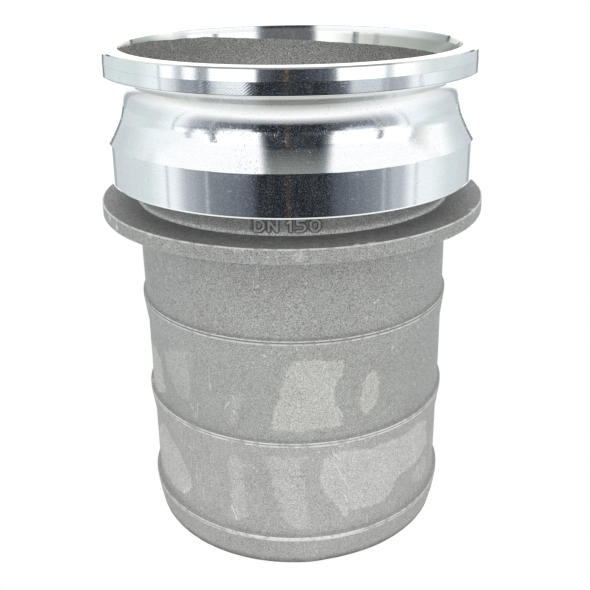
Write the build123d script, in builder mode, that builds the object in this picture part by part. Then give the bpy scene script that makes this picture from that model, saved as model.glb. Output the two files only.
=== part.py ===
"""Six-inch camlock adapter with hose shank: one aluminium casting, machined at the camlock head.

Frame: millimetres, +Z up along the adapter's axis, origin at the centre of the hose-end face.
The head (the male camlock profile) is at the top and the hose shank at the bottom. The raised
size mark faces -Y. Names ending in _depth are measured down from the sealing face.
"""

from build123d import *
import os
from math import sqrt

overall_length = 235.8

# head: nose, cam groove and skirt, all turned
nose_r = 88.0  # nominal male camlock diameter, 176 mm
nose_tip_r = 87.72  # the upper half of the nose has a slight lead-in
nose_land_depth = 5.35  # where the full diameter begins
nose_edge = 0.6
groove_r = 80.6  # at the bottom of the groove
groove_arc = 17.5  # radius of the groove's section
groove_depth = 25.0
skirt_r = 86.9
skirt_top_depth = 41.1
skirt_bottom_depth = 60.0
skirt_edge = 0.9

# neck and hose stop collar, as cast
neck_r = 74.4
neck_top_fillet = 3.0
neck_bottom_fillet = 1.0
collar_r = 91.7
collar_top_depth = 70.4
collar_bottom_depth = 77.05
collar_edge = 0.7

# hose shank, as cast, with draft towards the hose end
shank_top_r = 74.85
shank_top_fillet = 2.0
shank_radii = (74.65, 74.1, 73.65)  # just above each barb, top to bottom
shank_step = 0.3  # how much smaller the shank is at the foot of an upper barb
tip_r = 73.6
tip_edge = 1.2
tip_fillet = tip_edge - 0.2

# barbs: a steep shoulder, a narrow land and a long lead-in
barb_r = 75.8
barb_land = 1.7
barb_flank = 13.0
barb_rise = 0.9  # height of the shoulder
barb_fillet = 0.5
barb_pitch = 50.85
low_barb_z = 15.1  # middle of the lowest land

# inside: a turned bevel at the mouth, and the cored waterway below it
mouth_r = 79.55
bevel_mid_r, bevel_mid_depth = 78.5, 3.0
bevel_end_r, bevel_end_depth = 77.2, 9.5
bevel_overcut = 1.0
core_shift = 0.75  # the core sits off the turned axis, towards -X
core_mouth_r = 78.1  # where the core would cross the sealing face
core_draft = 0.065  # mm of radius per mm of depth, near the mouth
core_throat_r, core_throat_depth = 74.2, 24.0
core_knee_depth = bevel_end_depth + 2  # the draft turns into the curved throat
core_overcut = 5.0
bore_r = 70.2
bore_top_depth = 72.0  # where the straight waterway begins
bore_edge = 0.8

# raised nominal-size mark on the neck
mark_height = 4.6  # between the stroke centre lines of head and foot
mark_stroke = 0.9
mark_relief = 0.7
mark_root = 1.5  # how far the mark reaches into the neck
mark_mid_depth = 66.25
mark_start_x = -15.3
mark_plane_offset = 68.0  # inside the neck wall, from where the strokes are extruded
mark_extrusion = 14.0


def down(depth):
    """Height above the hose end of a point this far below the sealing face."""
    return overall_length - depth


# groove section: an arc that starts at the nose and runs tangent into the straight flare
arc_centre_r = groove_r + groove_arc
arc_centre_z = down(groove_depth)
arc_start_rise = sqrt(groove_arc**2 - (arc_centre_r - nose_r) ** 2)
arc_start = (nose_r, arc_centre_z + arc_start_rise)
arc_bottom = (groove_r, arc_centre_z)

# the tangent point, from the vector between the arc's centre and the top of the skirt
flare_r = skirt_r - arc_centre_r
flare_z = down(skirt_top_depth) - arc_centre_z
flare_squared = flare_r**2 + flare_z**2
along = groove_arc**2 / flare_squared
across = groove_arc * sqrt(flare_squared - groove_arc**2) / flare_squared
arc_end = (
    arc_centre_r + along * flare_r + across * flare_z,
    arc_centre_z + along * flare_z - across * flare_r,
)

# height of each barb's shoulder top and land, from the highest barb to the lowest
barb_heights = [low_barb_z + i * barb_pitch for i in (2, 1, 0)]
shoulders = [
    (r, land_z + barb_land / 2 + barb_rise) for r, land_z in zip(shank_radii, barb_heights)
]
barb_feet = [
    (r - shank_step, land_z - barb_land / 2 - barb_flank)
    for r, land_z in zip(shank_radii[:2], barb_heights)
] + [(tip_r, tip_edge)]

barb_points = []
for shoulder, land_z, foot in zip(shoulders, barb_heights, barb_feet):
    land_top = (barb_r, land_z + barb_land / 2)
    land_bottom = (barb_r, land_z - barb_land / 2)
    barb_points += [shoulder, land_top, land_bottom, foot]


def corner(sketch, r, z):
    """The section's corner nearest this radius and height, in the sketch as it now stands."""
    return sketch.vertices().sort_by_distance((r, z, 0))[0]


# ---------------------------------------------------------------- size mark, "DN 150"
with BuildPart() as size_mark:
    with BuildSketch(Plane.XZ.offset(mark_plane_offset)):
        # centre lines of the characters, each drawn from its own lower left corner
        foot_z = down(mark_mid_depth) - mark_height / 2
        top = mark_height
        with BuildLine(Location((mark_start_x, foot_z))) as letter_d:
            Polyline((0, 0), (2.2, 0), (3.6, 1.4), (3.6, top - 1.4), (2.2, top), (0, top), (0, 0))
        with BuildLine(Location((mark_start_x + 5.7, foot_z))) as letter_n:
            Line((0, 0), (0, top))
            Line((0.1, top - 0.1), (3.3, 0.1))
            Line((3.4, 0), (3.4, top))
        with BuildLine(Location((mark_start_x + 13.4, foot_z))) as figure_1:
            Polyline((0, top - 1.1), (1.3, top), (1.3, 0))
        with BuildLine(Location((mark_start_x + 17.2, foot_z))) as figure_5:
            Polyline(
                (3.4, top), (0.2, top), (0.2, 2.9), (2.3, 2.9),
                (3.4, 1.9), (3.4, 1.0), (2.4, 0), (0, 0),
            )
        with BuildLine(Location((mark_start_x + 23.0, foot_z))) as figure_0:
            Polyline(
                (1.1, 0), (2.5, 0), (3.6, 1.1), (3.6, top - 1.1), (2.5, top),
                (1.1, top), (0, top - 1.1), (0, 1.1), (1.1, 0),
            )
        for character in (letter_d, letter_n, figure_1, figure_5, figure_0):
            trace(character.line, line_width=mark_stroke)
    extrude(amount=mark_extrusion)

    # keep only the skin that follows the round neck
    with BuildSketch(Plane.XZ):
        with Locations((neck_r - mark_root, down(mark_mid_depth))):
            Rectangle(
                mark_root + mark_relief, mark_height + 4, align=(Align.MIN, Align.CENTER)
            )
    revolve(axis=Axis.Z, mode=Mode.INTERSECT)

# ---------------------------------------------------------------- the casting
with BuildPart() as adapter_casting:
    # outside section, from the sealing face down to the hose end
    with BuildSketch(Plane.XZ) as outside:
        with BuildLine():
            Polyline(
                (0, 0),
                (0, overall_length),
                (nose_tip_r - nose_edge, overall_length),
                (nose_tip_r, down(nose_edge)),
                (nose_r, down(nose_land_depth)),
                arc_start,
            )
            ThreePointArc(arc_start, arc_bottom, arc_end)
            Polyline(
                [
                    arc_end,
                    (skirt_r, down(skirt_top_depth)),
                    (skirt_r, down(skirt_bottom_depth - skirt_edge)),
                    (skirt_r - skirt_edge, down(skirt_bottom_depth)),
                    (neck_r, down(skirt_bottom_depth)),
                    (neck_r, down(collar_top_depth)),
                    (collar_r, down(collar_top_depth)),
                    (collar_r, down(collar_bottom_depth)),
                    (shank_top_r, down(collar_bottom_depth)),
                    *barb_points,
                    (tip_r, 0),
                    (0, 0),
                ]
            )
        make_face()

        fillet(corner(outside, *arc_start), nose_edge)
        fillet(corner(outside, neck_r, down(skirt_bottom_depth)), neck_top_fillet)
        fillet(corner(outside, neck_r, down(collar_top_depth)), neck_bottom_fillet)
        collar_depths = (collar_top_depth, collar_bottom_depth)
        fillet([corner(outside, collar_r, down(d)) for d in collar_depths], collar_edge)
        fillet(corner(outside, shank_top_r, down(collar_bottom_depth)), shank_top_fillet)
        fillet(corner(outside, tip_r, 0), tip_fillet)
        for shoulder in shoulders:
            fillet(corner(outside, *shoulder), barb_fillet)
    revolve(axis=Axis.Z)

    add(size_mark.part)

    # cored waterway, on the core's own axis
    core_top = overall_length + core_overcut
    core_knee = (core_mouth_r - core_knee_depth * core_draft, down(core_knee_depth))
    bore_top = (bore_r, down(bore_top_depth))
    with BuildSketch(Plane(origin=(-core_shift, 0, 0), x_dir=(1, 0, 0), z_dir=(0, -1, 0))):
        with BuildLine():
            Polyline(
                (0, core_top), (core_mouth_r + core_overcut * core_draft, core_top), core_knee
            )
            Spline(
                core_knee,
                (core_throat_r, down(core_throat_depth)),
                bore_top,
                tangents=((-core_draft, -1), (0, -1)),
            )
            Polyline(
                bore_top,
                (bore_r, bore_edge),
                (bore_r + bore_edge, 0),
                (bore_r + bore_edge, -core_overcut),
                (0, -core_overcut),
                (0, core_top),
            )
        make_face()
    revolve(axis=Axis((-core_shift, 0, 0), (0, 0, 1)), mode=Mode.SUBTRACT)

    # turned bevel at the mouth, on the head's axis
    with BuildSketch(Plane.XZ):
        with BuildLine():
            Polyline(
                (0, overall_length + bevel_overcut),
                (mouth_r, overall_length + bevel_overcut),
                (mouth_r, overall_length),
                (bevel_mid_r, down(bevel_mid_depth)),
                (bevel_end_r, down(bevel_end_depth)),
                (0, down(bevel_end_depth)),
                (0, overall_length + bevel_overcut),
            )
        make_face()
    revolve(axis=Axis.Z, mode=Mode.SUBTRACT)

adapter_casting.part.label = "adapter_casting"

os.makedirs("parts", exist_ok=True)
export_step(adapter_casting.part, "parts/adapter_casting.step")
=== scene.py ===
"""Looks of a six-inch cam-and-groove adapter: one aluminium casting, turned bright at the head
and left as cast below.

Its axis is Z, with the hose end at z = 0 and the sealing face on top. The visible casting is one
closed mesh, built row by row along the section and column by column round the axis. Lengths are
millimetres until the mesh is written (the shaders work in metres), angles run from the front (-Y)
towards +X, and depths are measured down from the sealing face.
"""
import math
from collections import namedtuple
from functools import reduce

import bpy
import numpy as np
from mathutils import Matrix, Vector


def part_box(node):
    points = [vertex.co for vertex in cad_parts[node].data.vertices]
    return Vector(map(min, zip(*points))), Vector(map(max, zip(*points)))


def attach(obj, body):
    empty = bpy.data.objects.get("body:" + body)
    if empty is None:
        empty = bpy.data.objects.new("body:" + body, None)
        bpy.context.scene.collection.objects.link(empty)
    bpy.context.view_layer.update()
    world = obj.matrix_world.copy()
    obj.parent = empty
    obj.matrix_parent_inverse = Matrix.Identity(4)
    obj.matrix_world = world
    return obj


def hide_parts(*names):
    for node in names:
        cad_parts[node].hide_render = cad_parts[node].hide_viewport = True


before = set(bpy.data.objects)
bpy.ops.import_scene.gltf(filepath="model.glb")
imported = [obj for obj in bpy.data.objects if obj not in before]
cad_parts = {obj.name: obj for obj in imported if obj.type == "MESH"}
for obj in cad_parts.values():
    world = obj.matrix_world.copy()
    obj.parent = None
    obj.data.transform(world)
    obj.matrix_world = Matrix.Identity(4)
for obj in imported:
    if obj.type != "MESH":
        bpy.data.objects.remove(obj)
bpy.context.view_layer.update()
low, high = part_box("adapter_casting")

# ---------------------------------------------------------------- dimensions of the section
TOP = high.z * 1000.0  # height of the sealing face
COLLAR_R = min(high.x, high.y, -low.x, -low.y) * 1000.0
MACHINED, CAST = 0, 1  # material slots

NOSE_R, NOSE_TIP_R, NOSE_BLEND = 88.0, 87.72, 0.6
LAND_TOP = 5.35
GROOVE_R, GROOVE_ARC, GROOVE_DEPTH = 80.6, 17.5, 25.0
SKIRT_R, SKIRT_TOP, SKIRT_BOTTOM = 86.9, 41.1, 60.0
FLARE_HOLLOW = math.radians(3.8)  # how far the flare's ends turn from its chord
NECK_R, COLLAR_TOP, COLLAR_BOTTOM = 74.4, 70.4, 77.05
FOOT_INNER_R, FOOT_R, SHANK_TOP_R = 72.4, 73.6, 74.85
SHANK_R = 74.3  # radius on which the shank's marks are laid out
MM_PER_DEGREE = math.radians(SHANK_R)

# Barbs from the hose end up: height, crest radius, radii at the foot of the flank below and of the
# shoulder above, wear and painted highlight on the crest's lower and upper edges, its share on the
# land, painted shade on the land's edges and middle.
Barb = namedtuple("Barb", "height crest_r below_r above_r wear_low wear_high land_wear "
                          "edge_dirt middle_dirt")
BARBS = (
    Barb(15.1, 75.65, 73.6, 73.65, 0.5, 0.9, 1.0, 0.0, 0.25),
    Barb(65.95, 75.7, 73.8, 74.1, 0.75, 1.0, 0.45, 0.2, 0.75),
    Barb(116.8, 76.0, 74.3, 74.65, 0.7, 0.95, 0.15, 0.45, 1.0),
)
CREST_HALF, LAND_HALF = 0.85, 0.28  # half heights of a crest and of the land on it
FLANK_HEIGHT, FLANK_BREAK, BREAK_DROP, SHOULDER = 13.0, 0.55, 0.06, 1.75

MOUTH_R = 79.55
BEVEL_1, BEVEL_2 = (78.5, 3.0), (77.2, 9.5)  # radius and depth at the foot of each bevel
MOUTH_EDGE, STEP_DROP, BORE_EDGE = 0.15, 0.12, 0.8
CORE_SHIFT = 0.75  # the waterway's axis lies this far towards -X
THROAT_END = 24.0
# the sand core: depth, radius, slope
CORE_KNOTS = [(0.0, 78.1, -0.065), (11.5, 77.3525, -0.075), (THROAT_END, 74.2, -0.17),
              (72.0, 70.2, 0.0), (240.0, 70.2, 0.0)]
BORE_STATIONS = (29.0, 35.0, 42.0, 50.0, 60.0, 72.0, 90.0, 112.0, 136.0, 160.0, 185.0, 210.0,
                 TOP - BORE_EDGE)


def down(depth):
    """Height of a depth below the sealing face."""
    return TOP - depth


# ---------------------------------------------------------------- the outer section
class Section:
    """Points (r, z) and, for each band between two points, its end normals, material and name."""

    def __init__(self, r, z):
        self.points = [(r, z)]
        self.normals, self.materials, self.names = [], [], []

    def add(self, point, start, end, material, name):
        self.points.append(point)
        self.normals.append((start, end))
        self.materials.append(material)
        self.names.append(name)

    def line(self, r, z, steps, material, name):
        r0, z0 = self.points[-1]
        length = math.hypot(r - r0, z - z0)
        normal = ((z - z0) / length, -(r - r0) / length)
        for k in range(steps):
            f = (k + 1) / steps
            point = (r0 + (r - r0) * f, z0 + (z - z0) * f)
            self.add(point, normal, normal, material, name)

    def arc(self, centre, radius, a0, a1, steps, material, name):
        """Arc between two angles in degrees; travelled clockwise it is concave."""
        side = 1.0 if a1 > a0 else -1.0
        for k in range(steps):
            t0, t1 = (math.radians(a0 + (a1 - a0) * q / steps) for q in (k, k + 1))
            start = (side * math.cos(t0), side * math.sin(t0))
            end = (side * math.cos(t1), side * math.sin(t1))
            point = (centre[0] + radius * math.cos(t1), centre[1] + radius * math.sin(t1))
            self.add(point, start, end, material, name)

    def path(self, corners):
        """Straight runs to corners (r, z, fillet, arc steps, run steps, material, name)."""
        for k, (r, z, fillet, arc_steps, steps, material, name) in enumerate(corners):
            if not fillet:
                self.line(r, z, steps, material, name)
                continue
            r0, z0 = self.points[-1]
            r2, z2, *_, next_material, _ = corners[k + 1]
            corner = np.array([r, z])
            back = np.array([r0 - r, z0 - z])
            back /= np.hypot(*back)
            ahead = np.array([r2 - r, z2 - z])
            ahead /= np.hypot(*ahead)
            half = math.acos(max(-1, min(1, float(back @ ahead)))) / 2
            cut = fillet / math.tan(half)
            middle = (back + ahead) / np.hypot(*(back + ahead))
            centre = corner + middle * fillet / math.sin(half)
            start, end = corner + back * cut, corner + ahead * cut
            self.line(start[0], start[1], steps, material, name)
            a0, a1 = (math.degrees(math.atan2(p[1] - centre[1], p[0] - centre[0]))
                      for p in (start, end))
            while a1 - a0 > 180:
                a1 -= 360
            while a1 - a0 < -180:
                a1 += 360
            self.arc(centre, fillet, a0, a1, arc_steps, next_material, name)


def barb_corners(barb):
    h, crest = barb.height, barb.crest_r
    break_z = h - CREST_HALF - FLANK_BREAK
    return [
        (crest - BREAK_DROP, break_z, 0, 0, 4, CAST, "flank"),
        (crest, h - CREST_HALF, 0.3, 2, 1, CAST, "flank"),
        (crest, h - LAND_HALF, 0, 0, 1, CAST, "land"),
        (crest, h, 0, 0, 1, CAST, "land"),
        (crest, h + LAND_HALF, 0, 0, 1, CAST, "land"),
        (crest, h + CREST_HALF, 0.3, 2, 1, CAST, "land"),
        (barb.above_r, h + SHOULDER, 0.5, 2, 1, CAST, "shoulder"),
    ]


def hollow_flare(section):
    """Sink the straight flare a little, so that it runs on from the groove's arc."""
    flare = [k for k, name in enumerate(section.names) if name == "flare"]
    (ra, za), (rb, zb) = section.points[flare[0]], section.points[flare[-1] + 1]
    run = math.hypot(rb - ra, zb - za)
    ur, uz = (rb - ra) / run, (zb - za) / run
    for q, k in enumerate(flare):
        t0, t1 = q / len(flare), (q + 1) / len(flare)
        sink = math.tan(FLARE_HOLLOW) * run * t1 * (1 - t1)
        section.points[k + 1] = (ra + ur * run * t1 - uz * sink, za + uz * run * t1 + ur * sink)
        ends = []
        for t in (t0, t1):
            tilt = math.tan(FLARE_HOLLOW) * (1 - 2 * t)
            nr, nz = uz + ur * tilt, -ur + uz * tilt
            ends.append((nr / math.hypot(nr, nz), nz / math.hypot(nr, nz)))
        section.normals[k] = tuple(ends)


def outer_section():
    """From the foot's inner edge up the outside and over the sealing face to the mouth."""
    # the groove's arc, and where the flare meets it
    centre_r, centre_z = centre = (GROOVE_R + GROOVE_ARC, down(GROOVE_DEPTH))
    dr, dz = SKIRT_R - centre_r, down(SKIRT_TOP) - centre_z
    tangent = math.atan2(dz, dr) - math.acos(GROOVE_ARC / math.hypot(dr, dz)) - FLARE_HOLLOW
    arc_foot = (centre_r + GROOVE_ARC * math.cos(tangent),
                centre_z + GROOVE_ARC * math.sin(tangent))

    section = Section(FOOT_INNER_R, 0.0)
    corners = [(FOOT_R, 0.0, 1.1, 4, 1, CAST, "foot")]
    for barb in BARBS:
        if barb is not BARBS[0]:
            flank_foot = barb.height - CREST_HALF - FLANK_HEIGHT
            corners.append((barb.below_r, flank_foot, 0, 0, 12, CAST, "shank"))
        corners += barb_corners(barb)
    corners += [
        (SHANK_TOP_R, down(COLLAR_BOTTOM), 2.0, 4, 12, CAST, "shank"),
        (COLLAR_R, down(COLLAR_BOTTOM), 0.7, 4, 3, CAST, "collar_under"),
        (COLLAR_R, down(COLLAR_TOP), 0.7, 4, 7, CAST, "collar_side"),
        (NECK_R, down(COLLAR_TOP), 1.0, 4, 6, CAST, "collar_top"),
        (NECK_R, down(SKIRT_BOTTOM), 2.9, 5, 27, CAST, "neck"),
        (SKIRT_R - 0.75, down(SKIRT_BOTTOM), 0, 0, 3, CAST, "skirt_under"),
        (SKIRT_R - 0.25, down(SKIRT_BOTTOM - 0.35), 0, 0, 1, MACHINED, "skirt_edge"),
        (SKIRT_R, down(SKIRT_BOTTOM - 1.05), 0, 0, 1, MACHINED, "skirt_edge"),
        (SKIRT_R, down(SKIRT_TOP), 0.35, 2, 6, MACHINED, "skirt"),
        (*arc_foot, 0, 0, 6, MACHINED, "flare"),
    ]
    section.path(corners)
    hollow_flare(section)

    # the groove, met by the nose's lower edge through a small blend
    top_r = NOSE_R - NOSE_BLEND
    reach = GROOVE_ARC + NOSE_BLEND
    top_z = centre_z + math.sqrt(reach**2 - (centre_r - top_r) ** 2)
    a_foot = math.degrees(tangent) % 360
    a_top = math.degrees(math.atan2(top_z - centre_z, top_r - centre_r)) % 360
    section.arc(centre, GROOVE_ARC, a_foot, a_top, 22, MACHINED, "groove")
    section.arc((top_r, top_z), NOSE_BLEND, a_top - 180, 0, 5, MACHINED, "nose_edge")
    section.path([
        (NOSE_R, down(LAND_TOP), 0, 0, 3, MACHINED, "nose_land"),
        (NOSE_TIP_R, down(0.6), 0, 0, 3, MACHINED, "nose_lead"),
        (NOSE_TIP_R - 0.6, TOP, 0, 0, 1, MACHINED, "nose_tip"),
        (MOUTH_R + 0.15, TOP, 0, 0, 3, MACHINED, "face"),
        (MOUTH_R - 0.05, down(MOUTH_EDGE), 0, 0, 1, MACHINED, "mouth_edge"),
    ])
    return section


# ---------------------------------------------------------------- columns round the axis
# close together across the size mark at the front, wider apart over the rest
DENSE_START, DENSE_END, DENSE_STEP, COARSE_STEPS = -12.6, 9.6, 0.2, 290
dense = np.arange(DENSE_START, DENSE_END + 1e-6, DENSE_STEP)
rest = np.linspace(DENSE_END, DENSE_START + 360, COARSE_STEPS + 1)[1:-1]
columns = np.radians(np.concatenate([dense, rest]))
COLUMNS = len(columns)
sines, cosines = np.sin(columns), np.cos(columns)
bearings = np.degrees(np.mod(columns + math.pi, 2 * math.pi) - math.pi)


def smooth_noise(seed, octaves):
    """Periodic noise round the axis from octaves (waves, size)."""
    rng = np.random.default_rng(seed)
    out = np.zeros_like(columns)
    for waves, size in octaves:
        a, b = rng.normal(size=2)
        out += size * (a * np.cos(waves * columns) + b * np.sin(waves * columns))
    return out


# ---------------------------------------------------------------- the mouth and waterway
# bearing, depth at which the turned bevel runs out into the cast waterway
RUN_OUT = np.array([
    (-180, 7.5), (-161, 5.95), (-142, 4.2), (-128, 3.5), (-117, 2.8), (-102, 2.5), (-90, 2.4),
    (-60, 2.9), (-30, 4.6), (0, 7.5), (40, 9.2), (71, 9.45), (90, 9.5), (122, 9.45), (142, 9.2),
    (164, 8.7), (180, 7.5)])


def bevel_run_out():
    depth = np.interp(bearings, RUN_OUT[:, 0], RUN_OUT[:, 1])
    waves = (9, 14, 19, 27, 38, 53, 71)
    wander = smooth_noise(3, [(k, 0.055 / math.sqrt(1 + k / 14)) for k in waves])
    return np.clip(depth + wander * np.clip((9.6 - depth) / 2, 0.25, 1), 2.1, 9.5)


def bevel_radius(depth):
    return np.interp(depth, [0.0, BEVEL_1[1], BEVEL_2[1]], [MOUTH_R, BEVEL_1[0], BEVEL_2[0]])


def core_radius(depth):
    """Radius and slope of the sand core on its own axis: a cubic curve through its knots."""
    r, slope = np.zeros_like(depth), np.zeros_like(depth)
    for (d0, r0, m0), (d1, r1, m1) in zip(CORE_KNOTS, CORE_KNOTS[1:]):
        here = (depth >= d0) & (depth <= d1)
        h = d1 - d0
        t = (depth[here] - d0) / h
        r[here] = (
            (2 * t**3 - 3 * t**2 + 1) * r0 + (t**3 - 2 * t**2 + t) * h * m0
            + (-2 * t**3 + 3 * t**2) * r1 + (t**3 - t**2) * h * m1
        )
        slope[here] = (
            (6 * t**2 - 6 * t) * r0 / h + (3 * t**2 - 4 * t + 1) * m0
            + (-6 * t**2 + 6 * t) * r1 / h + (3 * t**2 - 2 * t) * m1
        )
    return r, slope


def waterway(depth):
    """Radius from the adapter's axis and slope, at this depth in each column."""
    r, slope = core_radius(depth)
    return -CORE_SHIFT * sines + np.sqrt(r**2 - (CORE_SHIFT * cosines) ** 2), slope


def inner_normal(slope):
    """Normal of an inner wall whose radius changes by slope per mm of depth."""
    slope = np.broadcast_to(np.asarray(slope, float), (COLUMNS,))
    k = 1 / np.sqrt(1 + slope**2)
    return (-k, -slope * k)


class Skin:
    """The whole surface: rows of radii and heights, and the bands that run on from each row."""

    def __init__(self, section):
        self.radii = [np.full(COLUMNS, r) for r, z in section.points]
        self.heights = [np.full(COLUMNS, z) for r, z in section.points]
        self.starts, self.ends = (
            [tuple(np.full(COLUMNS, part) for part in pair[end]) for pair in section.normals]
            for end in (0, 1))
        self.materials, self.names = list(section.materials), list(section.names)

    def add_band(self, start, end, material, name):
        self.starts.append(start)
        self.ends.append(end)
        self.materials.append(material)
        self.names.append(name)

    def add_row(self, r, z, *band):
        self.radii.append(r)
        self.heights.append(z)
        self.add_band(*band)


def add_inside(skin):
    """Rows from the mouth down through the waterway, and the end face that closes the skin."""
    run_out = bevel_run_out()
    kink = np.minimum(BEVEL_1[1], 0.6 * run_out)
    normal_1 = inner_normal((BEVEL_1[0] - MOUTH_R) / BEVEL_1[1])
    normal_2 = inner_normal((BEVEL_2[0] - BEVEL_1[0]) / (BEVEL_2[1] - BEVEL_1[1]))
    for f in (0.33, 0.66, 1.0):
        depth = MOUTH_EDGE + (kink - MOUTH_EDGE) * f
        skin.add_row(bevel_radius(depth), TOP - depth, normal_1, normal_1, MACHINED, "bevel_1")
    for f in (0.25, 0.5, 0.75, 1.0):
        depth = kink + (run_out - kink) * f
        skin.add_row(bevel_radius(depth), TOP - depth, normal_2, normal_2, MACHINED, "bevel_2")

    # the small step from the turned bevel to the cast skin
    lip = run_out + STEP_DROP
    lip_r = np.minimum(waterway(lip)[0], bevel_radius(run_out) - 0.01)
    inset = skin.radii[-1] - lip_r
    length = np.hypot(inset, STEP_DROP)
    step_normal = (-STEP_DROP / length, inset / length)
    skin.add_row(lip_r, TOP - lip, step_normal, step_normal, CAST, "step")

    before = lip
    for f in (0.06, 0.14, 0.26, 0.4, 0.55, 0.7, 0.85, 1.0):
        depth = lip + (THROAT_END - lip) * f
        r, slope = waterway(depth)
        if f <= 0.3:
            r = np.minimum(r, lip_r)
        start = inner_normal(waterway(before)[1])
        skin.add_row(r, TOP - depth, start, inner_normal(slope), CAST, "throat")
        before = depth
    for station in BORE_STATIONS:
        depth = np.full(COLUMNS, station)
        r, slope = waterway(depth)
        start = inner_normal(waterway(before)[1])
        skin.add_row(r, TOP - depth, start, inner_normal(slope), CAST, "bore")
        before = depth
    slant = np.full(COLUMNS, -math.sqrt(0.5))
    slanted = (slant, slant)
    skin.add_row(r + BORE_EDGE, np.zeros(COLUMNS), slanted, slanted, CAST, "bore_edge")
    facing_down = (np.zeros(COLUMNS), np.full(COLUMNS, -1.0))
    skin.add_band(facing_down, facing_down, CAST, "end_face")


section = outer_section()
skin = Skin(section)
add_inside(skin)
radii, heights = np.array(skin.radii), np.array(skin.heights)
depths = TOP - heights
ROWS = len(radii)
rows = np.arange(ROWS)[:, None]
OUTER_ROWS = len(section.points)
past_mouth = rows > OUTER_ROWS
band_above = np.array([""] + skin.names[:-1])  # name of the band that ends at each row


def all_rows(values):
    return np.broadcast_to(values, radii.shape)


def segment_distance(x, y, x0, y0, x1, y1):
    vx, vy = x1 - x0, y1 - y0
    t = np.clip(((x - x0) * vx + (y - y0) * vy) / (vx * vx + vy * vy), 0, 1)
    return np.hypot(x - x0 - t * vx, y - y0 - t * vy)


# ---------------------------------------------------------------- raised size mark, DN 150
MARK_HEIGHT, MARK_RELIEF, MARK_MID, MARK_X = 4.6, 0.7, 66.25, -15.3
MARK_HALF = 0.9 / 2  # half the stroke's width
TALL = MARK_HEIGHT
# offset of each glyph from the mark's left end, and its polylines (x, height)
GLYPHS = [
    (0.0, [[(0, 0), (2.2, 0), (3.6, 1.4), (3.6, TALL - 1.4), (2.2, TALL), (0, TALL), (0, 0)]]),
    (5.7, [[(0, 0), (0, TALL)], [(0.1, TALL - 0.1), (3.3, 0.1)], [(3.4, 0), (3.4, TALL)]]),
    (13.4, [[(0, TALL - 1.1), (1.3, TALL), (1.3, 0)]]),
    (17.2, [[(3.4, TALL), (0.2, TALL), (0.2, 2.9), (2.3, 2.9), (3.4, 1.9), (3.4, 1.0), (2.4, 0),
             (0, 0)]]),
    (23.0, [[(1.1, 0), (2.5, 0), (3.6, 1.1), (3.6, TALL - 1.1), (2.5, TALL), (1.1, TALL),
             (0, TALL - 1.1), (0, 1.1), (1.1, 0)]]),
]


def mark_distance():
    """The vertices round the mark, and how far each is from the nearest stroke's middle."""
    x, z = radii * sines, heights - (down(MARK_MID) - MARK_HEIGHT / 2)
    near = ((np.abs(radii - NECK_R) < 0.2) & (cosines > 0)
            & (z > -1.5) & (z < MARK_HEIGHT + 1.5) & (np.abs(x) < 20))
    distance = np.full(x[near].shape, 9.0)
    for offset, lines in GLYPHS:
        left = MARK_X + offset
        for line in lines:
            for (x0, z0), (x1, z1) in zip(line, line[1:]):
                to_stroke = segment_distance(x[near], z[near], x0 + left, z0, x1 + left, z1)
                distance = np.minimum(distance, to_stroke)
    return near, distance


near_mark, to_mark = mark_distance()
relief = np.zeros_like(radii)
rise = np.clip((MARK_HALF + 0.16 - to_mark) / 0.34, 0, 1)
relief[near_mark] = MARK_RELIEF * rise * rise * (3 - 2 * rise)

# ---------------------------------------------------------------- wear, painted highlights and painted shade
wear, dirt, painted_reflection = np.zeros_like(radii), np.zeros_like(radii), np.zeros_like(radii)
facing_front = np.clip((cosines - 0.25) / 0.6, 0, 1)


def barb_wear_sheen_and_shade(barb):
    """Wear and painted highlight on crest edges, most at the front; painted shade on the land."""
    up = heights - barb.height
    crest = (np.abs(radii - barb.crest_r) < 0.12) & (np.abs(up) < 1.6)
    middle = crest & (np.abs(up) < 0.05)
    # painted highlight and wear on the crest's edges, strongest at the front
    for side, amount in ((-1, barb.wear_low), (1, barb.wear_high)):
        for at, share in ((CREST_HALF, 1.0), (LAND_HALF, barb.land_wear)):
            here = crest & (np.abs(up - side * at) < 0.28)
            wear[here] = all_rows(amount * share * np.clip(0.35 + cosines, 0.3, 1.0))[here]
    wear[middle] = 0.0
    # painted shade lines on the land's edges
    dirt[crest & (np.abs(np.abs(up) - LAND_HALF) < 0.05)] = barb.edge_dirt
    # the lowest barb's land gets a painted highlight at the front
    if barb is BARBS[0]:
        land = crest & (np.abs(up) < 0.3)
        wear[land] = all_rows(0.7 * np.clip((cosines - 0.86) / 0.1, 0.1, 1.0))[land]
    # painted shade line in the middle of the land
    dirt[middle] = barb.middle_dirt


for barb in BARBS:
    barb_wear_sheen_and_shade(barb)

# the collar's edges, upper and lower: wear and a painted highlight, stronger on the upper edge
wear[(radii > COLLAR_R - 0.45) & (depths < COLLAR_TOP + 0.45) & (depths > COLLAR_TOP - 0.05)] = 0.78
wear[(radii > COLLAR_R - 0.3) & (depths > COLLAR_BOTTOM - 0.4)
     & (depths < COLLAR_BOTTOM + 0.05)] = 0.35
# painted shade round the mark's raised strokes, whose tops are rubbed and carry a painted highlight
outline = np.clip(1.25 - np.abs(to_mark - (MARK_HALF + 0.36)) / 0.34, 0, 1)
dirt[near_mark] = np.maximum(dirt[near_mark], 1.15 * outline)
wear[near_mark] = np.clip(1.3 - to_mark / MARK_HALF, 0, 1) * 0.6
# painted shade on the foot's edge, and inside the waterway by bearing
dirt += np.where((heights < 1.15) & (radii > 72.0), 0.95, 0)
inside_shade = np.interp(bearings, [-180, -165, -140, -100, 0, 90, 145, 165, 180],
                        [0, 0.08, 0.32, 0.42, 0.3, 0.6, 0.45, 0.12, 0])
dirt += np.where((radii < 79) & past_mouth, inside_shade, 0)
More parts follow.
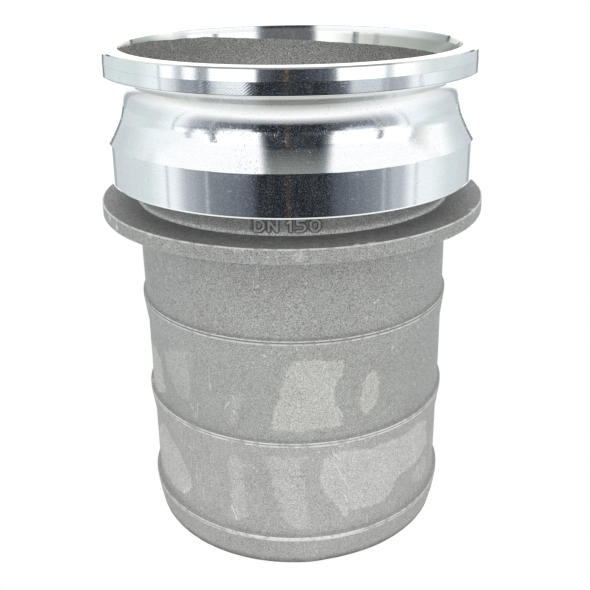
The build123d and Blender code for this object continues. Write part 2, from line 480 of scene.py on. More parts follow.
# painted shade at the front: on top of the collar under the skirt, and just under the collar
on_top = (np.abs(depths - COLLAR_TOP) < 0.05) & (radii < COLLAR_R - 0.6) & (radii > NECK_R)
dirt += np.where(on_top, 0.62 * facing_front, 0)
under = (depths > COLLAR_BOTTOM + 0.5) & (radii > 73) & (radii < 78)
dirt += np.where(under, 0.42 * facing_front * np.exp(-(depths - COLLAR_BOTTOM) / 4.5), 0)

# painted reflection: the turned mouth's bevels darker and warmer, except at the back
painted_reflection[band_above == "bevel_2"] = np.interp(
    bearings, [-180, -130, -120, -100, -20, 60, 130, 156, 163, 180],
    [0, 0, 0.6, 0.95, 0.6, 0.9, 0.9, 0.52, 0, 0])
painted_reflection[band_above == "bevel_1"] = np.interp(
    bearings, [-180, -128, -118, -100, 60, 105, 122, 134, 180],
    [0, 0, 0.3, 0.75, 0.6, 0.85, 0.3, 0, 0])
# painted reflection: the top of the groove darker, by depth, then by bearing
groove_top = (band_above == "groove") & (depths[:, 0] < 17.5)
groove_painted_reflection = (
    np.interp(depths, [10.7, 12.2, 13.5, 15.0, 16.0, 17.2], [0.3, 0.75, 0.75, 0.55, 0.3, 0.0])
    * np.interp(bearings, [-180, -60, -30, -22, -16, -10, -5, 10, 16, 24, 60, 180],
                [0.5, 0.6, 0.8, 0.6, 0, 0.2, 1, 1, 0.5, 0.4, 0.4, 0.5]))
painted_reflection[groove_top] = groove_painted_reflection[groove_top]
# painted light: the neck brightened towards its foot
on_neck = (radii > NECK_R - 0.5) & (radii < NECK_R + 0.9) & (depths < COLLAR_TOP - 0.03)
neck_brightening = np.interp(depths, [66.0, 67.5, 68.1, 68.5, 68.9, 69.35, 69.8, 70.3],
                  [0, 0.1, 0.25, 0.42, 0.65, 1.0, 1.25, 1.35])
painted_neck_light = np.where(on_neck, neck_brightening, 0.0)

# ---------------------------------------------------------------- stains on the shank
# closed outlines: bearing, depth
STAINS = {
    "bright": [
        [(-1.5, 128.5), (8, 128), (17.5, 129), (17, 135.5), (13.5, 141), (12.5, 148), (14.5, 153),
         (17.5, 162), (12, 163), (1.5, 163.5), (-8.5, 161.5), (-8, 154), (-6, 145), (-4, 136.5)],
        [(29.5, 137), (31, 142.5), (31, 151.5), (29, 157.5), (26, 161), (23.5, 158.5), (22, 152),
         (24, 144.5), (27, 139.5)],
        [(14, 175), (20, 176.5), (32, 177), (42, 178), (51, 177), (60, 181), (63, 196), (56, 198.5),
         (46.5, 199), (40.5, 202), (38.5, 207.5), (35.5, 210.5), (29, 211), (20.5, 209), (18, 213),
         (12, 201.5), (9.5, 196.5), (8, 188.5), (8.5, 181.5), (11.5, 177)],
        [(-80, 147), (-66.5, 141.5), (-60, 146), (-60, 154), (-56, 160.5), (-67, 168), (-80, 169),
         (-84, 158)],
        [(-67, 183), (-61, 182), (-55, 186.5), (-49.5, 191.5), (-44.5, 200), (-44.5, 208.5),
         (-48.5, 213), (-55, 214.5), (-70, 214), (-76, 200)],
    ],
    "faint": [
        [(-12.5, 177), (-4, 177), (5.5, 176), (2.5, 179.5), (2, 186.5), (3, 194.5), (4, 205.5),
         (3.5, 214), (-0.5, 215.5), (-4, 212), (-7, 203), (-9, 192), (-10, 184)],
        [(-22, 180.5), (-18.5, 181.5), (-19.5, 191.5), (-19, 202.5), (-18.5, 213.5), (-23.5, 217),
         (-27.5, 215.5), (-25, 204), (-24.5, 193), (-26, 184)],
        [(-55.5, 138), (-42.5, 132), (-41.5, 141.5), (-40.5, 157), (-48.5, 158.5), (-56, 150)],
        [(62.5, 202), (64.5, 213), (55.5, 213.5), (51, 207.5), (54, 202)],
        [(-24, 148.5), (-20, 147), (-19, 154.5), (-20.5, 164), (-24, 166.5), (-25, 157)],
        # round the back
        [(112, 128), (128, 124), (133, 140), (124, 158), (113, 150)],
        [(150, 176), (171, 180), (168, 205), (155, 212), (146, 196)],
        [(-118, 130), (-103, 134), (-99, 152), (-112, 163), (-124, 149)],
        [(-160, 96), (-149, 99), (-147, 111), (-158, 113)],
        [(-140, 180), (-123, 177), (-118, 196), (-131, 214), (-143, 202)],
    ],
}


def inside_distance(x, y, outline):
    """Signed distance to a closed outline, positive inside."""
    outline = np.array(outline, float)
    best, inside = np.full(x.shape, 1e9), np.zeros(x.shape, bool)
    for (x0, y0), (x1, y1) in zip(outline, np.roll(outline, -1, 0)):
        best = np.minimum(best, segment_distance(x, y, x0, y0, x1, y1))
        rise = (y1 - y0) or 1e-9  # a level side is never crossed
        inside ^= ((y0 > y) != (y1 > y)) & (x < x0 + (y - y0) * (x1 - x0) / rise)
    return np.where(inside, best, -best)


def stain_field(outlines):
    """Distance in mm inside the nearest stain; -20 where there is none."""
    shank = (depths > COLLAR_BOTTOM + 1) & (radii > 73)
    x, y = all_rows(bearings * MM_PER_DEGREE)[shank], depths[shank]
    field = np.full(radii.shape, -20.0)
    for outline in outlines:
        unrolled = [(bearing * MM_PER_DEGREE, depth) for bearing, depth in outline]
        field[shank] = np.maximum(field[shank], inside_distance(x, y, unrolled))
    return field


# ---------------------------------------------------------------- dents, chips and uneven skin
# chips on the collar: bearing, depth, half width, half height, how deep
CHIPS = [
    (20.5, 70.5, 1.6, 0.7, 0.45), (16.5, 70.5, 0.9, 0.5, 0.3), (-64, 72.5, 1.3, 1.6, 0.35),
    (-58, 74.5, 1.0, 1.4, 0.3), (1.5, 73.6, 2.2, 1.5, 0.25), (46, 76.6, 1.4, 0.7, 0.4),
    (-41, 71.2, 1.2, 0.8, 0.35), (63, 70.8, 1.8, 0.9, 0.4), (98, 70.6, 1.5, 0.8, 0.45),
    (-132, 71.0, 1.8, 0.9, 0.45), (150, 76.4, 1.6, 0.8, 0.4), (-170, 70.8, 1.2, 0.7, 0.35),
    (-100, 76.8, 1.5, 0.6, 0.4)]
CHIP_R = 91.7  # radius on which the chips' widths are laid out
# collar edges, nibbled all round: depth, seed, waves
NIBBLES = [(COLLAR_TOP, 21, (17, 29, 43, 61, 83, 97)),
           (COLLAR_BOTTOM, 22, (19, 31, 47, 59, 79, 101))]
# the as-cast lumps: waves round the axis, turns per mm of depth (radians), phase, size
LUMPS = [(5, 0.045, 0.3, 0.03), (9, -0.07, 2.0, 0.025), (14, 0.11, 4.1, 0.018),
         (23, -0.16, 1.1, 0.012), (31, 0.21, 5.0, 0.01)]

inward = np.zeros_like(radii)
for edge, seed, waves in NIBBLES:
    nibble = np.clip(smooth_noise(seed, [(k, 0.035) for k in waves]), 0, 0.2)
    inward += nibble * np.exp(-(((depths - edge) / 0.8) ** 2)) * (radii > COLLAR_R - 1)
for bearing, depth, half_width, half_height, deep in CHIPS:
    off = ((bearings - bearing + 180) % 360 - 180) * math.radians(1) * CHIP_R
    fall = np.exp(-((off / half_width) ** 2) - (((depths - depth) / half_height) ** 2))
    dent = deep * fall * (radii > COLLAR_R - 1.2)
    inward += dent
    wear = np.maximum(wear, np.clip(dent / deep, 0, 1) * 0.8)
# the cast skin of the shank isn't perfectly round
is_cast = np.array(skin.materials) == CAST
lumpy = (is_cast & np.roll(is_cast, 1))[:, None] & (radii > 73) & (radii < 77) & (depths > 80)
lump = sum(size * np.sin(waves * columns[None, :] + depths * twist + phase)
           for waves, twist, phase, size in LUMPS)
inward += np.where(lumpy, 0.06 - lump, 0) * np.clip((depths - 80) / 8, 0, 1)
# below the lowest barb the foot is fettled unevenly, most on the right
fettled = np.interp(
    bearings,
    [-180, -100, -85, -75, -60, -45, -36, 4, 12, 20, 30, 45, 55, 65, 75, 85, 95, 180],
    [0.2, 0.1, 0.15, 0.33, 0.38, 0.15, 0, 0, 0.75, 1.05, 0.95, 0.9, 0.8, 0.73, 0.6, 0.36, 0.2, 0.2])
foot = (rows < OUTER_ROWS) & (heights < 8.0)
inward += np.where(foot, fettled * np.clip((8.0 - heights) / 6.5, 0, 1), 0)


# ---------------------------------------------------------------- the mesh
def next_row(values):
    return np.roll(values, -1, 0)


def next_column(values):
    return np.roll(values, -1, -1)


def corner_normals(offset):
    """Normals of the section, tilted by the slope of the offset; four per face."""
    across = radii * ((np.roll(columns, -1) - np.roll(columns, 1)) % (2 * math.pi))
    slope_across = (np.roll(offset, -1, 1) - np.roll(offset, 1, 1)) / across
    run = np.hypot(next_row(radii) - radii, next_row(heights) - heights)
    slope_along = (np.roll(offset, -1, 0) - np.roll(offset, 1, 0)) / (run + np.roll(run, 1, 0))
    normals = np.zeros((ROWS, COLUMNS, 4, 3))
    corners = ((False, False), (False, True), (True, True), (True, False))
    for corner, (to_next_row, to_next_column) in enumerate(corners):
        pairs = skin.ends if to_next_row else skin.starts
        parts = [np.array([pair[0] for pair in pairs]), np.array([pair[1] for pair in pairs])]
        slopes = [slope_across, slope_along]
        turn = [sines, cosines]
        if to_next_row:
            slopes = [next_row(values) for values in slopes]
        if to_next_column:
            parts, slopes, turn = ([next_column(values) for values in group]
                                   for group in (parts, slopes, turn))
        (nr, nz), (g_across, g_along), (sine, cosine) = parts, slopes, turn
        out = nr + g_along * nz
        up = nz - g_along * nr
        vector = np.stack([out * sine - g_across * cosine, -out * cosine - g_across * sine, up], -1)
        normals[:, :, corner] = vector / np.linalg.norm(vector, axis=-1, keepdims=True)
    return normals.reshape(-1, 3).astype(np.float32)


def build_mesh():
    skin_r = radii + relief - inward
    # the shank stands slightly off the head's axis
    lean = 0.45 * np.clip((depths - 80) / 70, 0, 1) * (radii > 72.3)
    verts = np.stack([skin_r * sines + lean, -skin_r * cosines, heights], -1) / 1000.0
    row, col = np.meshgrid(np.arange(ROWS), np.arange(COLUMNS), indexing="ij")
    row_2, col_2 = (row + 1) % ROWS, (col + 1) % COLUMNS
    faces = np.stack([row * COLUMNS + col, row * COLUMNS + col_2,
                      row_2 * COLUMNS + col_2, row_2 * COLUMNS + col], -1).reshape(-1, 4)
    slots = np.repeat(np.array(skin.materials), COLUMNS).astype(np.int32)

    mesh = bpy.data.meshes.new("adapter_casting_visual")
    mesh.vertices.add(ROWS * COLUMNS)
    mesh.vertices.foreach_set("co", verts.ravel())
    mesh.loops.add(faces.size)
    mesh.loops.foreach_set("vertex_index", faces.ravel().astype(np.int32))
    mesh.polygons.add(len(faces))
    mesh.polygons.foreach_set("loop_start", np.arange(0, faces.size, 4, dtype=np.int32))
    mesh.polygons.foreach_set("material_index", slots)
    mesh.polygons.foreach_set("use_smooth", np.ones(len(faces), bool))
    mesh.update()
    mesh.normals_split_custom_set(corner_normals(relief - inward))
    mesh.validate()
    mesh.update()
    fields = {
        "wear": wear, "dirt": dirt, "painted_reflection": painted_reflection, "painted_neck_light": painted_neck_light,
        "stain_bright": stain_field(STAINS["bright"]),
        "stain_faint": stain_field(STAINS["faint"]),
        "cored": all_rows(past_mouth),
    }
    for name, values in fields.items():
        attribute = mesh.attributes.new(name, "FLOAT", "POINT")
        attribute.data.foreach_set("value", np.ascontiguousarray(values, np.float32).ravel())
    return mesh


# ---------------------------------------------------------------- node helpers
class Value:
    """A node's output; arithmetic on it adds Math nodes."""

    def __init__(self, net, socket):
        self.net, self.socket = net, socket

    def __add__(self, other):
        return self.net.math("ADD", self, other)

    def __radd__(self, other):
        return self.net.math("ADD", other, self)

    def __sub__(self, other):
        return self.net.math("SUBTRACT", self, other)

    def __rsub__(self, other):
        return self.net.math("SUBTRACT", other, self)

    def __mul__(self, other):
        return self.net.math("MULTIPLY", self, other)


class Nodes:
    """The node tree of a material or world; inputs are Values or constants."""

    def __init__(self, owner):
        owner.use_nodes = True
        self.tree = owner.node_tree
        self.tree.nodes.clear()

    def add(self, kind, inputs, **settings):
        node = self.tree.nodes.new("ShaderNode" + kind)
        for name, value in settings.items():
            setattr(node, name, value)
        for name, value in inputs.items():
            if isinstance(value, Value):
                self.tree.links.new(value.socket, node.inputs[name])
            elif value is not None:
                node.inputs[name].default_value = value
        return node

    def get(self, kind, inputs={}, output=0, **settings):
        return Value(self, self.add(kind, inputs, **settings).outputs[output])

    def math(self, operation, a, b=None, clamp=False):
        return self.get("Math", {0: a, 1: b}, operation=operation, use_clamp=clamp)

    def vec(self, operation, a, b=None, scale=None, output="Vector"):
        inputs = {0: a, 1: b, "Scale": scale}
        return self.get("VectorMath", inputs, output, operation=operation)

    def separate(self, vector):
        node = self.add("SeparateXYZ", {0: vector})
        return [Value(self, socket) for socket in node.outputs]

    def combine(self, kind, a, b, c=None):
        return self.get("Combine" + kind, {0: a, 1: b, 2: c})

    def field(self, name):
        return self.get("Attribute", output="Fac", attribute_name=name)

    def step(self, value, start, end, low=0.0, high=1.0, smooth=True):
        """Goes from low to high as the value goes from start to end."""
        inputs = {"Value": value, "From Min": start, "From Max": end, "To Min": low, "To Max": high}
        kind = "SMOOTHSTEP" if smooth else "LINEAR"
        return self.get("MapRange", inputs, interpolation_type=kind, clamp=True)

    def mix(self, factor, a, b, blend="MIX"):
        # sockets 6 and 7 and output 2 are the colour ones
        inputs = {0: factor, 6: a, 7: b}
        return self.get("Mix", inputs, 2, data_type="RGBA", blend_type=blend)

    def noise(self, vector, scale, detail=2.0, rough=0.5):
        inputs = {"Vector": vector, "Scale": scale, "Detail": detail, "Roughness": rough}
        return self.get("TexNoise", inputs, "Fac")

    def mapping(self, vector, rotation, scale):
        return self.get("Mapping", {"Vector": vector, "Rotation": rotation, "Scale": scale})

    def bump(self, height, strength, distance):
        return self.get("Bump", {"Height": height, "Strength": strength, "Distance": distance})


# ---------------------------------------------------------------- turned aluminium
# thin dark lines where the nose's land meets its lead and just above the groove:
# depth, half width, strength
THIN_DARK_LINES = ((LAND_TOP, 0.22, 0.12), (10.3, 0.28, 0.34))


def turned_aluminium():
    material = bpy.data.materials.new("turned_aluminium")
    net = Nodes(material)
    pos = net.get("TexCoord", output="Object")
    x, y, z = net.separate(pos)
    radius = net.math("SQRT", x * x + y * y)
    turn = net.math("ARCTAN2", x, y * -1.0)

    def fade(start, end):
        """0 to 1 between two depths."""
        return net.step(z, down(start) / 1000, down(end) / 1000)

    # turning lines: noise that depends almost only on radius and height
    ring = net.combine("XYZ", radius, z, net.math("SINE", turn) * 0.0006)
    fine = net.noise(ring, scale=2400.0, detail=3.0, rough=0.6)
    wide = net.noise(ring, scale=480.0)
    # specks, scuffs, pores and the slanted chatter left on the nose
    speck = net.noise(pos, scale=1500.0, rough=0.6)
    patch = net.noise(pos, scale=130.0)
    wobble = turn * -350.0 + z * 5200.0 + net.noise(pos, scale=90.0) * 16.0
    slant = net.math("SINE", wobble)
    on_nose = fade(5.2, 5.8) * fade(12.0, 11.0)
    chatter = slant * net.step(patch, 0.42, 0.6) * on_nose
    streaks = net.mapping(pos, rotation=(0.5, 0.3, 0.2), scale=(1.0, 1.0, 9.0))
    scuff = net.step(net.noise(streaks, scale=210.0), 0.66, 0.72)
    pores = (net.step(net.noise(pos, scale=1150.0, detail=1.0), 0.62, 0.70)
             * net.step(net.noise(pos, scale=75.0), 0.45, 0.56))
    in_groove = fade(44.0, 36.0) * fade(20.0, 27.0)
    pores = pores * (0.12 + in_groove * 0.88)
    height = (fine * 0.55 + wide * 0.30 - pores * 1.6) + (speck * 0.28 + chatter * 0.14)

    # brightness
    film = net.step(net.noise(pos, scale=1500.0, detail=3.0, rough=0.7), 0.46, 0.72, high=0.085)
    tone = (speck - 0.5) * 0.22 + ((fine - 0.5) * 0.10 + 0.88)
    tone = tone - net.step(net.noise(pos, scale=900.0, detail=1.0), 0.70, 0.78) * 0.2
    for depth, half_width, strength in THIN_DARK_LINES:
        off_line = net.math("ABSOLUTE", z - down(depth) / 1000)
        outer = net.step(radius, 0.084, 0.085)
        line = net.step(off_line, half_width / 1000, half_width / 2500) * outer
        tone = tone * (1.0 - line * strength)
    # painted reflection: the tone darker and warmer where the mesh marks it
    painted_reflection_amount = net.field("painted_reflection")
    tone = tone * (1.0 - painted_reflection_amount * 0.5)
    colour = net.combine("Color", tone * 0.985, tone, tone * (1.01 - painted_reflection_amount * 0.1))

    shader = net.get("BsdfPrincipled", {
        "Base Color": colour,
        "Metallic": 1.0 - (net.field("cored") * 0.2 + film),
        "Roughness": net.step(wide, 0.3, 0.7, low=0.06, high=0.09) + scuff * 0.12,
        "Anisotropic": 0.55,
        "Anisotropic Rotation": 0.25,
        "Tangent": net.get("Tangent", direction_type="RADIAL", axis="Z"),
        "Normal": net.bump(height, strength=0.2, distance=0.0001),
    })
    net.add("OutputMaterial", {0: shader})
    return material


# ---------------------------------------------------------------- as-cast aluminium
# knocks and scratches on the shank: bearing and depth of both ends, width in mm, strength
NICKS = [
    (28, 104.5, 30, 103.5, 0.45, 0.9), (24.5, 104, 25.5, 107.5, 0.3, 0.6),
    (25.5, 110.5, 25, 114, 0.35, 0.6), (24, 143.5, 28.5, 138, 0.4, 0.8),
    (15.5, 154, 17, 158, 0.5, 0.55), (12.5, 143, 14.5, 139, 0.3, 0.5),
    (-25.5, 155, -23.5, 151.5, 0.4, 0.6), (-22, 148, -21.5, 149.5, 0.4, 0.6),
    (-22, 155.5, -21.5, 156.5, 0.6, 0.8), (13, 175, 16, 180, 0.35, 0.7),
    (14.5, 182.5, 16.5, 189, 0.4, 0.7), (17, 190, 19.5, 196, 0.35, 0.6),
    (-24, 180, -23.5, 185, 0.4, 0.4), (-24.5, 207.5, -22.5, 214.5, 0.45, 0.9),
    (-23, 208, -22, 212, 0.3, 0.6), (-49, 213, -47, 209, 0.5, 0.8),
    (-44, 183.5, -42, 185, 0.5, 0.6), (50, 183.5, 53, 198.5, 0.4, 0.5),
    (55, 205.5, 57, 212.5, 0.4, 0.5), (18, 200, 19, 204, 0.5, 0.7),
    (-41.5, 159, -40, 161.5, 0.5, 0.6), (1, 121.5, 1.2, 122.5, 0.6, 0.6)]
# small dark holes: bearing, depth, radius
HOLES = [(-52.5, 131, 0.55), (-33.5, 130.5, 0.5), (-10, 228, 0.55), (-27, 226, 0.5),
         (-1, 233, 0.6), (14, 231, 0.5), (31, 228, 0.5), (-20, 232, 0.45)]
# long light scratches: rotation, stretch, scale and range of the noise, then of its mask
SCRATCHES = [((0.3, 0.62, 0.0), 15.0, 80.0, (0.715, 0.73), 30.0, (0.54, 0.60)),
             ((0.2, -0.75, 0.0), 14.0, 85.0, (0.705, 0.72), 26.0, (0.55, 0.60))]
CAST_GRAIN = 0.72  # contrast of the sand grain


def grey(value, *rest):
    return (value, *(rest or (value, value)), 1)


def sand_level(net, pos, cored, grain, clump, cloud):
    """Brightness of the cast skin before any marks, round 1."""
    drift = net.step(net.noise(pos, scale=17.0), 0.30, 0.70, low=-1.0, smooth=False)
    z = net.separate(pos)[2]
    finer = net.step(z, 0.09, 0.13, low=0.8, high=1.12)
    speckle = grain * CAST_GRAIN * finer * (1.0 + cored * 0.5)
    return 1.0 + (speckle + (clump * 0.055 + (cloud * 0.05 + drift * 0.03)))


def scratch_mask(net, pos):
    masks = []
    for rotation, stretch, scale, lines, mask_scale, patches in SCRATCHES:
        streaks = net.mapping(pos, rotation=rotation, scale=(stretch, stretch, 1.0))
        masks.append(net.step(net.noise(streaks, scale, detail=1.0), *lines)
                     * net.step(net.noise(pos, mask_scale, detail=1.0), *patches))
    return net.math("MAXIMUM", *masks)


def nick_mask(net, place, mark):
    bearing_0, depth_0, bearing_1, depth_1, width, strength = mark
    start = np.array([bearing_0 * MM_PER_DEGREE, depth_0, 0.0])
    run = np.array([bearing_1 * MM_PER_DEGREE, depth_1, 0.0]) - start
    offset = net.vec("SUBTRACT", place, tuple(start))
    along = net.vec("DOT_PRODUCT", offset, tuple(run / (run @ run)), output="Value")
    along = net.math("MULTIPLY", along, 1.0, clamp=True)
    nearest = net.vec("SCALE", tuple(run), scale=along)
    gap = net.vec("LENGTH", net.vec("SUBTRACT", offset, nearest), output="Value")
    return net.step(gap, width, width * 0.35, high=strength)


def hole_mask(net, place, mark):
    bearing, depth, width = mark
    offset = net.vec("SUBTRACT", place, (bearing * MM_PER_DEGREE, depth, 0.0))
    return net.step(net.vec("LENGTH", offset, output="Value"), width, width * 0.5)


def as_cast_aluminium():
    material = bpy.data.materials.new("as_cast_aluminium")
    net = Nodes(material)
    pos = net.get("TexCoord", output="Object")
    cored = net.field("cored")

    # sand grain, its clumps, and slow mottling, each from -1 to 1
    grain, clump, cloud = (
        net.step(net.noise(pos, scale, detail, rough), start, end, low=-1.0, smooth=False)
        for scale, detail, rough, start, end in (
            (2300.0, 2.0, 0.8, 0.32, 0.68), (430.0, 2.0, 0.6, 0.30, 0.70),
            (52.0, 4.0, 0.6, 0.30, 0.70)))
    level = sand_level(net, pos, cored, grain, clump, cloud)

    # stains, with ragged edges
    bright_field = net.field("stain_bright")
    ragged = clump * 0.35 + cloud * 1.3
    bright = net.step(bright_field + ragged, -0.9, 0.9)
    faint = net.step(net.field("stain_faint") + ragged, -1.4, 1.4)
    off_rim = net.math("ABSOLUTE", bright_field + ragged - 1.2)
    rim = bright * net.step(off_rim, 1.4, 0.2)
    level = level * (1.0 + (bright * 0.29 + (faint * 0.18 + rim * 0.05)))
    # painted light: the neck's foot brightened
    level = level * (1.0 + net.field("painted_neck_light"))

    # pale specks where the skin has been knocked, dark pits, scratches
    knock = (net.step(net.noise(pos, scale=640.0, detail=1.0), 0.68, 0.72)
             * net.step(net.noise(pos, scale=62.0), 0.53, 0.61))
    pits = net.step(net.noise(pos, scale=760.0, detail=1.0), 0.755, 0.79)
    scratch = scratch_mask(net, pos)

    # nicks and holes, placed on the unrolled shank in mm
    x, y, z = net.separate(pos)
    unrolled = net.combine("XYZ", net.math("ARCTAN2", x, y * -1.0) * SHANK_R, TOP - z * 1000.0)
    place = net.vec("ADD", unrolled, net.vec("SCALE", (0.35, 0.35, 0.0), scale=clump))

    def strongest(mask, marks):
        masks = (mask(net, place, mark) for mark in marks)
        return reduce(lambda a, b: net.math("MAXIMUM", a, b), masks)

    nick, hole = strongest(nick_mask, NICKS), strongest(hole_mask, HOLES)
    outside = 1.0 - cored
    nick, hole = nick * outside, hole * outside

    # base colour: upper and lower shank, the foot, bright stains, the waterway; the lower shank
    # lighter as painted light, the foot darker as painted shade
    painted_light_low = net.step(z, 0.070, 0.063)
    colour = net.mix(net.step(cloud, -1.0, 1.0), grey(0.378, 0.383, 0.378),
                     grey(0.372, 0.380, 0.378))
    # painted light: the lower shank lighter
    colour = net.mix(painted_light_low, colour, grey(0.401, 0.398, 0.394))
    # painted shade: darker near the foot
    colour = net.mix(net.step(z, 0.0150, 0.0135), colour, grey(0.362, 0.358, 0.355))
    # the stains, too, lighter low down as painted light
    stain = net.mix(painted_light_low, grey(0.384, 0.388, 0.370), grey(0.392, 0.389, 0.385))
    colour = net.mix(bright * 0.8, colour, stain)
    colour = net.mix(cored, colour, grey(0.440, 0.440, 0.430))
    colour = net.mix(1.0, colour, net.combine("Color", level, level, level), blend="MULTIPLY")
    # marks laid over it: mask, strength, colour
    for mask, strength, tint in (
            (knock, 0.6, grey(0.76, 0.76, 0.75)), (scratch, 0.55, grey(0.70, 0.70, 0.69)),
            (nick, 0.85, grey(0.80, 0.80, 0.79)), (hole, 0.75, grey(0.12, 0.12, 0.115)),
            (pits, 0.6, grey(0.16, 0.15, 0.14))):
        colour = net.mix(mask * strength, colour, tint)
    broken = net.step(net.noise(pos, scale=260.0, rough=0.6), 0.34, 0.55)
    # painted shade from the mesh, in broken patches
    colour = net.mix(net.field("dirt") * (0.62 + broken * 0.3), colour, grey(0.10))
    # wear and painted highlight from the mesh
    worn_and_sheen = net.field("wear") * (0.25 + broken * 0.75)
    colour = net.mix(net.math("MINIMUM", worn_and_sheen * 1.15, 1.0), colour, grey(0.84, 0.84, 0.835))

    sunk = net.math("MAXIMUM", pits * 0.8, hole * 1.5)
    height = grain * 0.35 + clump * 0.35 - sunk
    shader = net.get("BsdfPrincipled", {
        "Base Color": colour,
        "Metallic": 0.10 + worn_and_sheen * 0.25,
        "Roughness": 0.60 - worn_and_sheen * 0.18,
        "Normal": net.bump(height, strength=0.4, distance=0.0004),
    })
    net.add("OutputMaterial", {0: shader})
    return material


# ---------------------------------------------------------------- studio
def radiance(*srgb):
    """Radiance (RGBA) that polished aluminium shows at this sRGB level, 0 to 255."""
    out = []
    for v in (srgb if len(srgb) == 3 else srgb * 3):
        v = v / 255.0
        out.append((v / 12.92 if v <= 0.04045 else ((v + 0.055) / 1.055) ** 2.4) / 0.88)
    return (*out, 1.0)


# tones of the flags, cards and boxes round the part
black, night = radiance(38, 42, 49), radiance(50, 53, 59)
slate, dusk = radiance(78, 84, 93), radiance(98, 105, 114)
steel, ash = radiance(120, 127, 134), radiance(150, 157, 163)
mist, silver = radiance(178, 183, 189), radiance(200, 206, 211)
pale, bright = radiance(212, 221, 220), radiance(236, 241, 244)
glow, box = radiance(252), radiance(270)
sand, putty = radiance(221, 222, 217), radiance(136, 141, 137)
side_low, side_high = radiance(166, 174, 176), radiance(112, 120, 120)

# what stands round the part at each elevation: bearing, tone
LOW_BAND = [  # below the horizon
    (-147, box), (-145, silver), (-134, silver), (-96, pale), (-84, bright), (-74, bright),
    (-66, mist), (-57, ash), (-48, steel), (-32, dusk), (-24, slate), (-19, black), (20, black),
    (27, slate), (34, dusk), (48, steel), (60, ash), (63, mist), (69, mist), (76, bright),
    (92, bright), (110, pale), (134, silver), (145, silver), (147, box)]
MID_BAND = [
    (-148, box), (-146, silver), (-122, pale), (-98, pale), (-87, bright), (-79, bright),
    (-69, silver), (-65, ash), (-58, ash), (-54, steel), (-48, dusk), (-46, mist), (-42, pale),
    (-34, bright), (-25.4, bright), (-23.8, steel), (-22.5, slate), (-18, black), (-8, black),
    (20, night), (28, slate), (33, steel), (35, silver), (52, silver), (55, ash), (69, mist),
    (74, bright), (90, bright), (102, pale), (124, silver), (146, silver), (148, box)]
TOP_BAND = [
    (-148, box), (-146, silver), (-118, pale), (-98, pale), (-83, bright), (-72, box),
    (-67, silver), (-65, mist), (-62, glow), (-57, box), (-54.5, pale), (-52.5, steel),
    (-50, mist), (-47.5, ash), (-45.5, box), (-19.4, box), (-18.2, dusk), (-14, slate),
    (-7, night), (4, night), (20, slate), (25, steel), (27.2, box), (53, box), (57, silver),
    (60, glow), (64, box), (74, glow), (88, pale), (112, pale), (146, silver), (148, box)]
FLARE_BAND = [  # above the horizon
    (-148, box), (-146, silver), (-130, silver), (-116, pale), (-98, bright), (-60, glow),
    (-47, box), (-21, box), (-18, steel), (-15, night), (19, night), (23.5, steel), (27, box),
    (80, box), (84, silver), (90, sand), (100, glow), (110, glow), (121, pale), (135, silver),
    (146, silver), (148, box)]
HIGH_BAND = [
    (-148, box), (-146, sand), (-100, sand), (-95, glow), (-38, glow), (-22, glow), (-18, ash),
    (-14, putty), (19, putty), (24, ash), (29, glow), (100, glow), (106, sand), (146, sand),
    (148, box)]
DIM_BAND = [
    (-148, box), (-146, sand), (-100, sand), (-95, glow), (-22, glow), (-18, steel),
    (-15, night), (20, night), (24.5, steel), (29, glow), (100, glow), (106, sand), (146, sand),
    (148, box)]
# narrow upright strips: bearing, width, tone, lowest and highest elevation
STRIPS = [
    (-51.6, 1.0, silver, -39, -4), (56.3, 1.0, silver, -39, -4), (-80, 2.0, silver, -39, 1),
    (79.8, 2.0, silver, -39, -4), (-50.5, 4.5, steel, 0, 21), (-51.3, 1.2, pale, 0, 21),
    (58, 4.0, ash, 0, 19), (-68, 5.0, silver, 2, 14), (-2.3, 1.8, radiance(76, 66, 58), -39, -10),
    (-2.3, 2.2, radiance(96, 84, 72), -4, 30), (-142, 6.0, side_low, -39, -12),
    (142, 6.0, side_low, -39, -12), (-144.5, 4.0, side_high, -12, 62),
    (144.5, 4.0, side_high, -12, 62)]
TENT, TENT_FRONT = 0.83, 0.12  # light on matt surfaces, and its gain towards the front


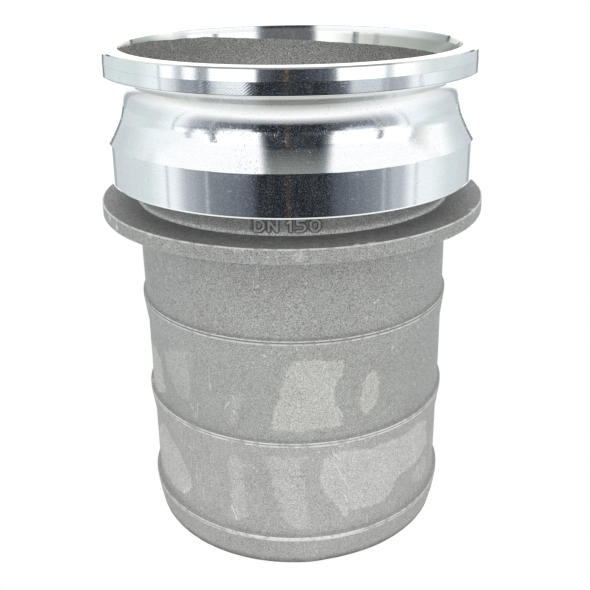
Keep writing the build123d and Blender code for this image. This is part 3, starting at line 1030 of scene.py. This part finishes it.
def studio_world():
    world = bpy.data.worlds.new("studio")
    net = Nodes(world)
    direction = net.get("TexCoord", output="Generated")
    x, y, z = net.separate(direction)
    azimuth = net.math("ARCTAN2", x, y * -1.0)
    turn = azimuth * (0.5 / math.pi) + 0.5  # 0 to 1, with the front at 0.5
    elevation = net.math("ARCSINE", z) * (180 / math.pi)

    def around(stops):
        node = net.add("ValToRGB", {0: turn})
        elements = node.color_ramp.elements
        while len(elements) > 1:
            elements.remove(elements[-1])
        elements[0].position = (stops[0][0] + 180) / 360
        elements[0].color = stops[0][1]
        for bearing, tone in stops[1:]:
            elements.new((bearing + 180) / 360).color = tone
        return Value(net, node.outputs[0])

    # the bands from the lowest up, with the elevations over which each takes over
    sky = around(LOW_BAND)
    for band, start, end, smooth in (
            (MID_BAND, -13.0, -10.5, True), (TOP_BAND, -6.5, -4.0, True),
            (FLARE_BAND, 0.5, 4.0, True), (DIM_BAND, 22.0, 26.0, True),
            (HIGH_BAND, 34.0, 48.0, False)):
        sky = net.mix(net.step(elevation, start, end, smooth=smooth), sky, around(band))
    sky = net.mix(net.step(elevation, 50.0, 58.0), sky, radiance(150, 152, 152))

    for bearing, width, tone, lowest, highest in STRIPS:
        off = net.math("ABSOLUTE", azimuth * (180 / math.pi) - bearing)
        across = net.step(off, width / 2 + 0.25, max(width / 2 - 0.25, 0.05))
        upright = (net.step(elevation, lowest - 0.5, lowest + 0.5)
                   * net.step(elevation, highest + 0.5, highest - 0.5))
        sky = net.mix(across * upright, sky, tone)

    # faint clutter in the reflections, and the pale table below
    clutter = (net.noise(direction, scale=30.0, detail=5.0, rough=0.75) - 0.5
               + (net.noise(direction, scale=95.0, rough=0.6) - 0.5) * 0.45)
    tint = net.combine("Color", clutter * 0.24, clutter * 0.25, clutter * 0.27)
    sky = net.mix(1.0, sky, tint, blend="ADD")
    table = net.mix(net.step(elevation, -80.0, -42.0), radiance(205, 206, 205), glow)
    sky = net.mix(net.step(elevation, -44.0, -24.0, smooth=False), table, sky)

    # matt surfaces see a plain soft tent, and the camera sees white
    tent = TENT + net_front(net, y) * TENT_FRONT if False else None
    front = net.step(y * -1.0, -0.6, 1.0)
    tent = TENT + front * TENT_FRONT
    tent_colour = net.combine("Color", tent * 1.0, tent * 1.0, tent * 0.985)
    path = net.add("LightPath", {}).outputs
    light = net.mix(Value(net, path["Is Diffuse Ray"]), sky, tent_colour)
    seen = net.mix(Value(net, path["Is Camera Ray"]), light, (1.0, 1.0, 1.0, 1.0))
    background = net.get("Background", {0: seen, 1: 1.0})
    net.add("OutputWorld", {0: background})
    world.cycles.sampling_method = "NONE"
    return world


def add_object(name, data):
    thing = bpy.data.objects.new(name, data)
    bpy.context.scene.collection.objects.link(thing)
    return thing


def add_low_light():
    """A wide soft lamp low in front that lights the shank and makes no reflection."""
    lamp = bpy.data.lights.new("low_front", "AREA")
    lamp.shape = "RECTANGLE"
    lamp.size, lamp.size_y = 0.30, 0.07
    lamp.energy = 0.085
    low_front = add_object("low_front", lamp)
    low_front.location = (0.015, -0.215, 0.01)
    low_front.rotation_euler = (math.radians(95), 0, 0)
    low_front.visible_glossy = False
    low_front.visible_camera = False


def add_floor():
    """A white floor that neither lights nor shades the part."""
    half = 40
    mesh = bpy.data.meshes.new("floor")
    corners = [(-half, -half, 0), (half, -half, 0), (half, half, 0), (-half, half, 0)]
    mesh.from_pydata(corners, [], [(0, 1, 2, 3)])
    floor = add_object("floor", mesh)
    material = bpy.data.materials.new("pale_floor")
    net = Nodes(material)
    net.add("OutputMaterial", {0: net.get("Emission", {0: (1.0, 1.0, 1.0, 1.0)})})
    mesh.materials.append(material)
    floor.visible_glossy = False
    floor.visible_diffuse = False
    floor.visible_shadow = False


def add_camera():
    """In front and above, looking down at the part."""
    lens = bpy.data.cameras.new("camera")
    camera = add_object("camera", lens)
    lens.sensor_width = 36.0
    lens.lens = 53.8657627
    lens.shift_x, lens.shift_y = -0.000847457627, -0.0725152542
    lens.clip_start, lens.clip_end = 0.01, 200
    pitch_down, roll = 19.694, -0.7174
    camera.matrix_world = (
        Matrix.Translation((0.001267, -0.42037, (TOP + 46.08) / 1000))
        @ Matrix.Rotation(math.radians(90 - pitch_down), 4, "X")
        @ Matrix.Rotation(math.radians(roll), 4, "Z")
    )
    bpy.context.scene.camera = camera


# ---------------------------------------------------------------- assembly
casting = add_object("adapter_casting_visual", build_mesh())
casting.data.materials.append(turned_aluminium())
casting.data.materials.append(as_cast_aluminium())
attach(casting, "root")
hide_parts("adapter_casting")

scene = bpy.context.scene
scene.world = studio_world()
add_low_light()
add_floor()
scene.view_settings.view_transform = "Standard"
scene.view_settings.look = "None"
add_camera()
